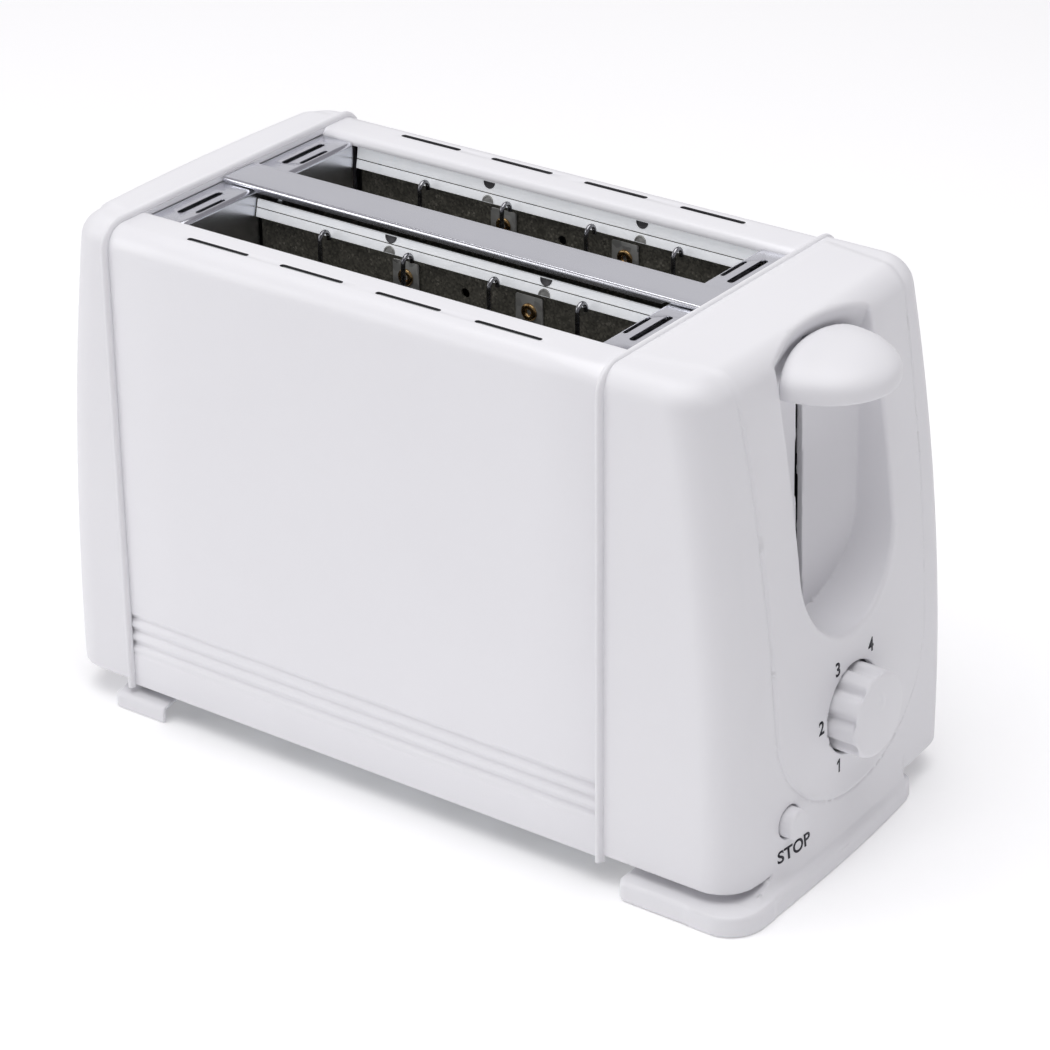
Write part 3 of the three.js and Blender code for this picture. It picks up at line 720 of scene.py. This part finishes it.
def bead(name, side):
    """The half-round rib of an end cap that covers the edge of the wrap."""
    centre, half_wide, high = 94.6, 1.3, 1.8
    corner = arc(HALF_WIDTH - SHELL_R, TOP - SHELL_R, SHELL_R, 0, 90, 14)
    upright = np.linspace(SHELL_BOTTOM - 1, TOP - SHELL_R, 12)[:-1]
    # each point of the spine is followed by its outward direction
    spine = [(HALF_WIDTH, z, 1, 0) for z in upright]
    spine += [(y, z, (y - HALF_WIDTH + SHELL_R) / SHELL_R, (z - TOP + SHELL_R) / SHELL_R)
              for y, z in corner]
    spine += [(-y, z, -ny, nz) for y, z, ny, nz in reversed(spine)]
    section = [(centre - half_wide * math.cos(a), high * math.sin(a))
               for a in np.linspace(0, math.pi, 15)]
    section += [(96.2, -0.6), (94.6, -0.6), (94.6, 0.33), (93.2, 0.33)]
    points = []
    for y, z, ny, nz in spine:
        points += [(side * x, y + h * ny, z + h * nz) for x, h in section]
    rib = make(name, points, skin(len(spine), len(section)), 50)
    place(rib, "chassis", PLASTIC)


bead("lever_end_bead", 1)
bead("plain_end_bead", -1)


# ---------------------------------------------------------------- the other feet
def plain_foot(name, side, node):
    """A thin angle moulding: flat top, rolled outer edge, open end towards the middle."""
    outer, thick = 66.2, 1.3

    def field(x, y, z):
        y = side * y
        top = np.minimum(5.4 + 0.2 * np.maximum(0, outer - y), 9)
        block = cut(cut(slab(y, 40, outer), z - top, 1.6), -101.2 - x, 2.6)
        under = np.maximum(np.maximum(y - outer + thick, z - top + thick), -99.8 - x)
        shape = np.maximum(cut(block, x + 79.3, 0.3), -under)
        return np.maximum(shape, np.maximum(48.2 - y, -z))

    y0, y1 = sorted((side * 47, side * 67.2))
    foot = mould(name, field, (-102.2, y0, -0.9), (-78.2, y1, 10), 0.45)
    place(foot, "chassis", PLASTIC, [node])


plain_foot("front_plain_foot_moulding", -1, "front_plain_foot")
plain_foot("rear_plain_foot_moulding", 1, "rear_plain_foot")


def rear_pad(x, y, z):
    """The foot under the rear corner of the lever end, with its riser."""
    pad = cut(cut(cut(slab(x, 99, 121), slab(y, 50, 68), 3), z - FOOT_TOP, 2.2), -z, 0.6)
    riser = np.maximum(np.maximum(slab(x, 101, 119), slab(y, 51, 60)), slab(z, 5, 9.8))
    return join(pad, riser, 0.4)


place(mould("rear_lever_foot_moulding", rear_pad, (98, 49, -0.9), (122, 69, 10.6), 0.7),
      "chassis", PLASTIC, ["rear_lever_foot"])

# ---------------------------------------------------------------- painted wrap
SHEET = 0.9
REEDS, REED_TOP, REED_PITCH, REED_DEPTH = 3, 34.3, 4.75, 0.9
VENT_Y, VENT_PITCH, VENT_HALF, VENT_R = 54.4, 37.05, 12.1, 0.95
LIP_R, LIP_BOTTOM = 3.0, 168.9


def wrap_side(inset):
    """(y, z) of the wrap's surface from its bottom edge to the lip in the bread opening."""
    y = HALF_WIDTH - inset
    low = REED_TOP - REEDS * REED_PITCH
    line = [(y, SHELL_BOTTOM), (y, low - 2)]
    steps, run_out = 42, 1.8
    for i in range(steps + 1):
        t = i / steps
        wave = 0.5 + 0.5 * math.cos(2 * math.pi * REEDS * t)
        deep = REED_DEPTH * wave ** 1.6 * (smooth(t * 6) if t < 0.16 else 1)
        line.append((y - deep, low + REEDS * REED_PITCH * t))
    line += [(y - REED_DEPTH * float(smooth(1 - d / run_out)), REED_TOP + d)
             for d in np.linspace(0.3, run_out, 6)]
    line += [(y, z) for z in np.linspace(42, TOP - SHELL_R - 6, 6)]
    line += arc(HALF_WIDTH - SHELL_R, TOP - SHELL_R, SHELL_R - inset, 0, 90, 16)
    line += [(q, TOP - inset) for q in (52, 49.5)]
    line += arc(OPENING_Y + LIP_R, TOP - LIP_R, LIP_R - inset, 90, 180, 10)
    return line + [(OPENING_Y + inset, LIP_BOTTOM)]


def wrap_panel(name, side, replaces=()):
    """One half of the wrap, painted outside, and near black inside and in its vents as painted
    shade.
    """
    outline = [(side * y, z) for y, z in wrap_side(0) + wrap_side(SHEET)[::-1]]
    sheet = sweep_x(name, outline, np.linspace(-SHELL_END, SHELL_END, 9))
    vents = [slot_cutter(((k - 1.5) * VENT_PITCH, side * VENT_Y, TOP), VENT_HALF, VENT_R, 3)
             for k in range(4)]
    pierce(sheet, vents, 30)
    place(sheet, "chassis", PAINT, replaces)
    sheet.data.materials.append(SHADE_BLACK)
    # inner faces and vent walls take the near-black material: painted shade seen through the vents
    for face in sheet.data.polygons:
        out, up = abs(face.center.y) * 1000, face.center.z * 1000
        inward = side * face.normal.y + 0.7 * face.normal.z
        hidden = out > OPENING_Y + 3 and up > SHELL_BOTTOM + 0.5
        in_vent = abs(face.normal.z) < 0.4 and abs(out - VENT_Y) < 1.2
        face.material_index = int((inward < -0.3 and hidden) or in_vent)


wrap_panel("front_wrap_panel", -1, ["body_shell"])
wrap_panel("rear_wrap_panel", 1)


def wrap_bridge(name, side):
    """The narrow strip of the wrap that crosses the chamber beyond the slots."""
    x0, x1 = sorted((side * OPENING_X, side * SHELL_END))
    half, under, over = OPENING_Y + 2.5, TOP - 1.75, TOP - 0.05
    outline = [(-half, under), (half, under), (half, over), (-half, over)]
    bridge = sweep_x(name, outline, np.linspace(x0, x1, 4))
    place(bridge, "chassis", PAINT)


wrap_bridge("lever_end_bridge", 1)
wrap_bridge("plain_end_bridge", -1)

# ---------------------------------------------------------------- chromed parts
FRAME_X, FRAME_TOP = 80, 170.2


def end_plate(name, side, node):
    """End wall of the chamber folded over into the flange between the slots and the cap."""
    bend, thick, low_edge, edge = 1.8, 0.9, 13, OPENING_X - 0.4

    def fold(r, start, end):
        return [(FRAME_X + bend - r * math.cos(a), FRAME_TOP - bend + r * math.sin(a))
                for a in np.linspace(start, end, 9)]

    profile = [(FRAME_X, low_edge)] + fold(bend, 0, math.pi / 2) + [(edge, FRAME_TOP)]
    profile += [(edge, FRAME_TOP - thick)] + fold(bend - thick, math.pi / 2, 0)
    profile += [(FRAME_X + thick, low_edge)]
    ys = np.linspace(-OPENING_Y + 0.5, OPENING_Y - 0.5, 13)
    points = [(side * x, y, z) for y in ys for x, z in profile]
    plate = make(name, points, skin(len(ys), len(profile)))
    cutters = []
    for y in (-SLOT_Y, SLOT_Y):
        cutters.append(slot_cutter((side * 86.9, y, FRAME_TOP), 10.5, 1.2, 3, "y"))
        cutters.append(slot_cutter((side * 82.2, y - 0.5, FRAME_TOP), 6.9, 0.8, 1.5, "y"))
        if side > 0:  # the bread rest's arm travels in this one
            low, high = REST_TOP - 74, REST_TOP + 2
            cutters.append(slot_cutter((FRAME_X, y, (low + high) / 2), 6, 1.9, (high - low) / 2))
    pierce(plate, cutters, 35)
    place(plate, "chassis", CHROME, [node])


end_plate("lever_end_plate", 1, "lever_end_frame")
end_plate("plain_end_plate", -1, "plain_end_frame")


def bar():
    """The bar between the slots: folded sheet with rolled long edges, pinched at both ends."""
    half, top, drop, pinched = 8.3, 172.0, 169.5, 170.6
    roll, crease, inside = 1.2, 1.7, 1.9
    outer = [(-half, drop)] + arc(-half + roll, top - roll, roll, 180, 90, 7)
    outer += [(-half + crease, top - 0.12)]
    outer += [(y, top - 0.06) for y in (-half + inside, -3, 0, 3, half - inside)]
    outer += [(half - crease, top - 0.12)] + arc(half - roll, top - roll, roll, 90, 0, 7)
    outer += [(half, drop)]
    inner = [(half - 0.8, drop)] + arc(half - inside, top - inside, 1.1, 0, 90, 8)
    inner += arc(-half + inside, top - inside, 1.1, 90, 180, 8) + [(-half + 0.8, drop)]
    ends = [78.4, 80, 84, 88, 92.3]
    xs = [-x for x in reversed(ends)] + list(np.linspace(-60, 60, 7)) + ends
    profile = outer + inner
    points = [(x, y, max(z, pinched) if abs(x) > ends[0] else z) for x in xs for y, z in profile]
    folded = make("slot_bar", points, skin(len(xs), len(profile)), 35)
    place(folded, "chassis", CHROME, ["centre_bar"])


bar()

# ---------------------------------------------------------------- slot walls
WIRES_X = [1.3 + 33.3 * (k - 1.5) for k in range(4)]
WINDOWS_X = (-25, 35)
EYELETS_X, EYELET_Z = (("a", -20), ("b", 28)), 153.6
STRIP_LOW, STRIP_FOLD = 161.3, 164.3
OUTER_TOP, INNER_TOP = 168.6, 166.7
# name, y of the board's face, the way to its slot, top of its strip
SIDES = (("front_outer", -BOARD_OUT, 1, OUTER_TOP), ("front_inner", -BOARD_IN, -1, INNER_TOP),
         ("rear_inner", BOARD_IN, 1, INNER_TOP), ("rear_outer", BOARD_OUT, -1, OUTER_TOP))


def strip(name, y, into, top, node):
    """Galvanised strip that clamps a board's upper edge, with a fold line along its middle."""
    front = [(2.55, 161), (2.7, 161.15), (2.7, STRIP_LOW), (2.12, 164), (1.85, 164.04),
             (1.85, STRIP_FOLD), (2.05, 164.34), (1.5, top - 0.15), (1.35, top)]
    back = [(0.8, top), (0.95, 166), (1.3, 164.2), (1.7, 162.6), (2.1, 161)]
    outline = [(y + into * d, z) for d, z in front + back]
    sheet = sweep_x(name, outline, np.linspace(-79.4, 79.4, 15), 25)
    place(sheet, "chassis", GLOWING_ZINC, [node])
    sheet.data.materials.append(TABS)
    for face in sheet.data.polygons:
        across, up = 1000 * face.center.y - y, 1000 * face.center.z
        # the faces down in the fold take the darker tab colour: painted shade in the crease
        face.material_index = int(164 < up < 164.35 and into * across > 1.7)


def half_rounds(name, y, into, z, up, top, material):
    """Half-round windows on one edge of the strip: a raised rim round a flat face."""
    def strip_face(z, upper):
        if upper:
            return 2.05 - 0.55 * (z - STRIP_FOLD) / (top - 164.5)
        return 2.7 - 0.215 * (z - STRIP_LOW)

    around = 14
    rings = [(2.3, 0.06), (2.15, 0.3), (1.8, 0.3), (1.6, 0.1), (0.01, 0.1)]
    points, faces = [], []
    for x in WINDOWS_X:
        base = len(points)
        for r, h in rings:
            for j in range(around + 1):
                a = math.pi * j / around
                dz = up * r * math.sin(a)
                face = y + into * (strip_face(z + dz, z > 164) + h)
                points.append((x + r * math.cos(a), face, z + dz))
        w = around + 1
        faces += [(base + i * w + j, base + i * w + j + 1,
                   base + (i + 1) * w + j + 1, base + (i + 1) * w + j)
                  for i in range(len(rings) - 1) for j in range(around)]
        back = [(px, py - into * 0.4, pz) for px, py, pz in points[base:base + w]]
        start = len(points)
        points += back
        faces += [(base + j, start + j, start + j + 1, base + j + 1) for j in range(around)]
        faces.append(tuple(start + j for j in range(w)))
        down = [base + i * w for i in range(len(rings))]
        faces.append((*down, *(i + around for i in reversed(down)), start + around, start))
    place(make(name, points, faces, 40), "chassis", material)


def guard(name, y, into, node):
    """Four upright wires hooked over the strip's lower edge, on one bottom rail."""
    wire_y, root_y, wire_r = y + into * 8.1, y + into * 3.6, 0.75
    mid = (wire_y + root_y) / 2
    paths = []
    for x in WIRES_X:
        stem = [(x, wire_y, z) for z in np.linspace(24.2, 160.5, 12)]
        hook = [(x, mid + (wire_y - mid) * math.cos(a), 161.4 + 2.5 * math.sin(a))
                for a in np.linspace(0, math.pi, 13)]
        paths.append(stem + hook + [(x, root_y, 160.6)])
    paths.append([(x, wire_y, 23.6) for x in np.linspace(-56, 60, 6)])
    place(tubes(name, paths, wire_r, 12), "chassis", WIRE, [node])


def tab_plate(name, x, y, into):
    """Contact plate under an eyelet, with round corners and a softened front edge."""
    z, w, h, corner_r, taper = EYELET_Z, 5.2, 5.4, 0.8, 0.975
    back, front = 0.62, 0.95
    outline = []
    for sx, sz, start in ((1, 1, 0), (-1, 1, 90), (-1, -1, 180), (1, -1, 270)):
        cx, cz = x + sx * (w - corner_r), z + sz * (h - corner_r)
        outline += arc(cx, cz, corner_r, start, start + 90, 4)
    points = [(px, y + into * d, pz) for d in (back, front - 0.1) for px, pz in outline]
    points += [(x + (px - x) * taper, y + into * front, z + (pz - z) * taper) for px, pz in outline]
    plate = make(name, points, skin(3, len(outline)), 30)
    place(plate, "chassis", TABS)


def eyelet(name, x, y, into, node):
    """A rolled brass ring in front of the tab plate."""
    rolled = [(0.9, 0.5), (0.9, 1.2)]
    rolled += [(1.9 + 1.0 * math.cos(a), 1.15 + 0.62 * math.sin(a))
               for a in np.linspace(math.pi, 0, 9)]
    rolled += [(2.9, 0.98), (1.6, 0.96), (1.5, 0.5)]
    ring = turned(name, rolled, (x, y, EYELET_Z), into)
    place(ring, "chassis", BRASS, [node])


for label, board_y, into, top in SIDES:
    strip(label + "_clamp_strip", board_y, into, top, label + "_strip")
    window_top = min(top, 168) - 0.05
    # the upper windows' faces are near black: painted shade in the half-round windows
    half_rounds(label + "_upper_windows", board_y, into, window_top, -1, top, SHADE_BLACK)
    half_rounds(label + "_lower_windows", board_y, into, STRIP_LOW, 1, top, TABS)
    guard(label + "_guard_wires", board_y, into, label + "_wire_guard")
    for letter, x in EYELETS_X:
        tab_plate(f"{label}_tab_plate_{letter}", x, board_y, into)
        eyelet(f"{label}_rolled_eyelet_{letter}", x, board_y, into, f"{label}_eyelet_{letter}")

# ---------------------------------------------------------------- lever, dial and button
LEVER_LONG, LEVER_WIDE, LEVER_UP, LEVER_DOWN = 25.6, 23.4, 9.3, 12
LEVER_X, LEVER_Z, LEVER_BOTTOM, LEVER_POWER = 128, 159, 156, 2.3
LEVER_LOWEST_Z, LEVER_GAP = 92, 1.1  # its bottom less the travel, and what it clears the scoop by


def lever_form(x, y, z):
    """Half an egg in plan with a domed top; its flat underside is rounded off.

    Its back clears the scoop at the bottom of its travel. A pocket takes the bracket's arm.
    """
    y = y - LEVER_Y
    tall = np.where(z > LEVER_Z, LEVER_UP, LEVER_DOWN)
    plan = np.hypot(np.maximum(x - LEVER_X, 0) / LEVER_LONG, y / LEVER_WIDE)
    k = plan ** LEVER_POWER + np.abs((z - LEVER_Z) / tall) ** LEVER_POWER
    k = k ** (1 / LEVER_POWER)
    egg = (k - 1) * tall / np.maximum(k, 0.4) ** 0.5
    body = cut(egg, LEVER_BOTTOM - z, 1.2)
    body = cut(body, recess_back(y + LEVER_Y, LEVER_LOWEST_Z) + LEVER_GAP - x, 0.8)
    arm = np.maximum(slab(x, 110, 135.2), slab(y, -1.35, 1.35))
    return np.maximum(body, -np.maximum(arm, slab(z, 158, 165.5)))


place(mould("lever_paddle", lever_form, (122.5, -26, 154.5), (157, 26, 170), 0.7),
      "carriage", PLASTIC, ["lever_knob"])

KNOB_FACE, KNOB_R, KNOB_BACK, FLUTES = 155.2, 14.1, 140.4, 9
SHAFT_R, SHAFT_DEEP = 3.2, 5


def dial_form(x, y, z):
    """Turned knob with nine flutes that run out before the face, and a small raised pointer."""
    z = z - KNOB_Z
    r, turn = np.hypot(y, z), np.arctan2(z, y)
    valley = (0.5 + 0.5 * np.cos(FLUTES * (turn - math.radians(10)))) ** 2.6
    fade = smooth((KNOB_FACE - 1.2 - x) / 1.4)
    side = r - KNOB_R + 2.1 * valley * fade
    face = x - KNOB_FACE + 0.9 * (r / KNOB_R) ** 2
    body = cut(cut(side, face, 1.6), KNOB_BACK - x, 0.5)
    pointer = ellipse(y, z - 5.2, 1.5, 2.5) + 0.9 * np.maximum(0, x - KNOB_FACE + 0.3)
    pointer = np.maximum(cut(pointer, x - KNOB_FACE - 0.4, 0.5), KNOB_FACE - 3 - x)
    shaft = np.maximum(r - SHAFT_R, x - KNOB_FACE + SHAFT_DEEP)
    return np.maximum(join(body, pointer, 0.5), -shaft)


place(mould("browning_dial_knob", dial_form, (139.4, -16, KNOB_Z - 16),
            (156.6, 16, KNOB_Z + 16), 0.5),
      "dial", PLASTIC, ["browning_knob"])

STOP_FACE = 1000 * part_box("stop_button")[1].x - CHAMBER_X
STOP_R = 4.9


def button_form(x, y, z):
    """A softly domed cap on a flange and a stem."""
    r = np.hypot(y - STOP_Y, z - STOP_Z)
    cap = cut(r - STOP_R, x - STOP_FACE + 0.35 * (r / STOP_R) ** 2, 1.0)
    head = np.maximum(cap, STOP_FACE - 8 - x)
    flange = np.maximum(r - 6.8, slab(x, STOP_FACE - 8.1, STOP_FACE - 6.7))
    stem = np.maximum(r - 2, slab(x, STOP_FACE - 22.3, STOP_FACE - 7))
    return join(join(head, flange), stem, 0.3)


place(mould("stop_push_button", button_form, (STOP_FACE - 23, STOP_Y - 7.6, STOP_Z - 7.6),
            (STOP_FACE + 0.8, STOP_Y + 7.6, STOP_Z + 7.6), 0.45),
      "stop", PLASTIC, ["stop_button"])


# ---------------------------------------------------------------- printed marks
DIGIT_ONE = ([(0.02, 0, 0), (0.13, 0, 0), (0.13, 0.7, 0), (0.04, 0.7, 0), (-0.13, 0.56, 0),
              (-0.13, 0.44, 0), (0.02, 0.55, 0)], [], [(0, 1, 2, 6), (6, 2, 3, 4, 5)])


def printed(name, text, y, z, height, widen):
    """Lettering laid on the lever-end face, following its curve."""
    lifted, near_face, rounds = 0.02, 144.0, 6
    thick = 0.00006  # metres
    curve = bpy.data.curves.new(name, "FONT")
    curve.body, curve.size, curve.align_x, curve.align_y = text, 1.0, "CENTER", "CENTER"
    curve.offset, curve.resolution_u = 0.02, 6
    source = to_object(name + ".text", curve)
    flat = as_built(source)
    bpy.data.objects.remove(source)
    if text == "1":
        flat.clear_geometry()
        flat.from_pydata(*DIGIT_ONE)
    co = np.array([v.co for v in flat.vertices])
    centre, tall = (co.max(0) + co.min(0)) / 2, (co.max(0) - co.min(0))[1]
    co = (co - centre) * height / tall
    ys, zs = y + co[:, 0] * widen, z + co[:, 1]
    near = np.stack([np.full(len(ys), near_face), ys, zs], 1)
    for _ in range(rounds):
        near[:, 0] -= lever_cap(*near.T)
    bm = bmesh.new()
    bm.from_mesh(flat)
    bmesh.ops.triangulate(bm, faces=bm.faces)
    for vert, p in zip(bm.verts, near):
        vert.co = metres(p + (lifted, 0, 0))[0]
    bm.normal_update()
    front = bmesh.ops.extrude_face_region(bm, geom=bm.faces[:])
    for vert in (v for v in front["geom"] if isinstance(v, bmesh.types.BMVert)):
        vert.co.x += thick
    bmesh.ops.recalc_face_normals(bm, faces=bm.faces)
    mesh = bpy.data.meshes.new(name)
    bm.to_mesh(mesh)
    bm.free()
    place(to_object(name, mesh), "chassis", INK)


MARKS_R = 19.2
for number, angle in zip("123456", (240, 177, 120, 60, 0, 300)):
    a = math.radians(angle)
    mark_y, mark_z = 0.5 + MARKS_R * math.cos(a), KNOB_Z + 0.2 + MARKS_R * math.sin(a)
    printed(f"dial_mark_{number}", number, mark_y, mark_z, 4.7, 0.95)
printed("stop_mark", "STOP", -32.6, 15.1, 4.3, 1.2)


# ---------------------------------------------------------------- lift spring
def lift_spring():
    """Close-wound tension spring between the carriage tab and the top of the rear guide rod."""
    turns, per = 16, 14
    x, y, bottom, long, r = 89, 24, 106, 41.6, 3.2
    path = []
    for i in range(turns * per + 1):
        a = 2 * math.pi * i / per
        path.append((x + r * math.cos(a), y + r * math.sin(a), bottom + long * i / (turns * per)))
    coil = tubes("lift_spring_coil", [path], 0.5, 8)
    material_of(coil, STEEL)
    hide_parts("lift_spring")
    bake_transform(coil)


lift_spring()

# ---------------------------------------------------------------- finishes of the kept CAD parts
KEPT = {
    "mica_board": MICA, "heating_ribbon": NICHROME, "bread_rest": STEEL, "carriage_bracket": ZINC,
    "armature_plate": STEEL, "guide_rod": STEEL, "magnet_core": STEEL, "magnet_coil": COPPER,
    "circuit_board": LAMINATE, "browning_control": BLACK, "browning_shaft": STEEL,
    "stop_switch": BLACK, "mains_switch": BLACK, "terminal_block": BLACK, "cord_gland": BLACK,
    "base_plate": ZINC, "crumb_tray": ZINC, "base_screw": STEEL,
}
for name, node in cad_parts.items():
    for key, material in KEPT.items():
        if key in name:
            material_of(node, material)


# ---------------------------------------------------------------- stage, light and camera
def stage_floor():
    m = Nodes("floor", Specular_IOR_Level=0.15, Roughness=0.75,
              Emission_Color=(1, 1, 1, 1), Emission_Strength=0.14)
    m.colour(m.noise(3, 2), (0.3, (0.96, 0.96, 0.965)), (0.7, (0.97, 0.97, 0.975)))
    size, n, under = 6.0, 24, -0.0002
    line = [size * (i / n - 0.5) for i in range(n + 1)]
    points = [(x, y, under) for x in line for y in line]
    row = n + 1
    faces = [(i * row + j, (i + 1) * row + j, (i + 1) * row + j + 1, i * row + j + 1)
             for i in range(n) for j in range(n)]
    mesh = bpy.data.meshes.new("floor")
    mesh.from_pydata(points, [], faces)
    floor = to_object("floor", mesh)
    material_of(floor, m.material)


def softbox(name, at, aim, size, power):
    light = bpy.data.lights.new(name, "AREA")
    light.shape, light.size, light.energy = "SQUARE", size, power
    obj = to_object(name, light)
    obj.location = at
    obj.rotation_euler = (Vector(aim) - Vector(at)).to_track_quat("-Z", "Y").to_euler()


stage_floor()
world = bpy.data.worlds.new("studio")
world.use_nodes = True
sky = world.node_tree.nodes["Background"].inputs
sky["Color"].default_value = (0.965, 0.925, 1, 1)
sky["Strength"].default_value = 0.22
bpy.context.scene.world = world
softbox("front_softbox", (-1.7, -1.35, 0.75), (0, 0, 0.08), 1.3, 12.5)
softbox("top_softbox", (0.1, -0.2, 1.9), (0, 0, 0.1), 2.0, 34)
softbox("back_softbox", (-1.25, 1.7, 1.1), (0, 0, 0.1), 1.7, 3.5)
softbox("right_softbox", (1.6, 1.0, 0.8), (0, 0, 0.1), 1.2, 0.5)

# the photo's camera, solved from the vents, seams and edges
EYE = (0.62501, -0.84393, 0.60633)
FOCAL_PIXELS, IMAGE_PIXELS, SENSOR = 3661.5, 1050, 36
azimuth, elevation, roll = (math.radians(a) for a in (36.195, 26.919, -0.563))
across = Vector((math.cos(azimuth), math.sin(azimuth), 0))
ahead = Vector((-math.sin(azimuth) * math.cos(elevation), math.cos(azimuth) * math.cos(elevation),
                -math.sin(elevation)))
over = across.cross(ahead)
right = across * math.cos(roll) + over * math.sin(roll)
up = over * math.cos(roll) - across * math.sin(roll)
camera = bpy.data.cameras.new("camera")
camera.sensor_width, camera.lens = SENSOR, SENSOR * FOCAL_PIXELS / IMAGE_PIXELS
camera.clip_start, camera.clip_end = 0.05, 20
eye = to_object("camera", camera)
eye.matrix_world = Matrix([(right[i], up[i], -ahead[i], EYE[i]) for i in range(3)] + [(0, 0, 0, 1)])
bpy.context.scene.camera = eye
bpy.context.scene.view_settings.view_transform = "Standard"

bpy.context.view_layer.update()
